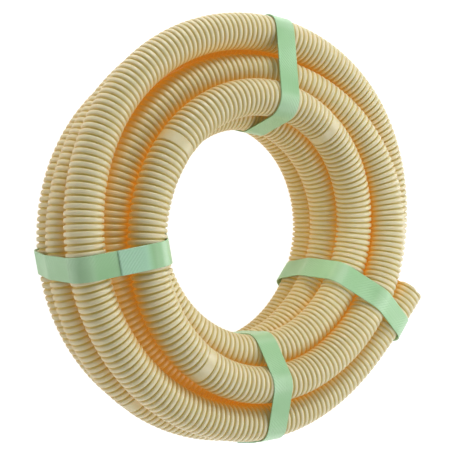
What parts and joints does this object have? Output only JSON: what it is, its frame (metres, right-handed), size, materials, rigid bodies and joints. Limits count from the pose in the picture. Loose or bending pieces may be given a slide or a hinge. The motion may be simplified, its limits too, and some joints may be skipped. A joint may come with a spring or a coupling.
{
  "type": "flexible conduit coil",
  "caption": "Coil of corrugated plastic conduit lying on its end, bound with plastic straps, with one open cut end.",
  "frame": {"origin": "point on the floor below the centre of the coil", "axes": "+Z along the coil's axis, from its back, which lies on the floor, to its front; +Y towards the top strap, 12 o'clock seen from the front; +X towards 3 o'clock, the side where the free end leaves the coil"},
  "size_m": [0.3538, 0.3554, 0.1063],
  "materials": {
    "conduit_plastic": "extruded and corrugated, satin",
    "strap_plastic": "drawn strapping band, embossed, slight gloss"
  },
  "bodies": {
    "root": {"conduit": "conduit_plastic", "strap_top": "strap_plastic", "strap_left": "strap_plastic", "strap_bottom": "strap_plastic", "strap_right": "strap_plastic"}
  },
  "joints": []
}
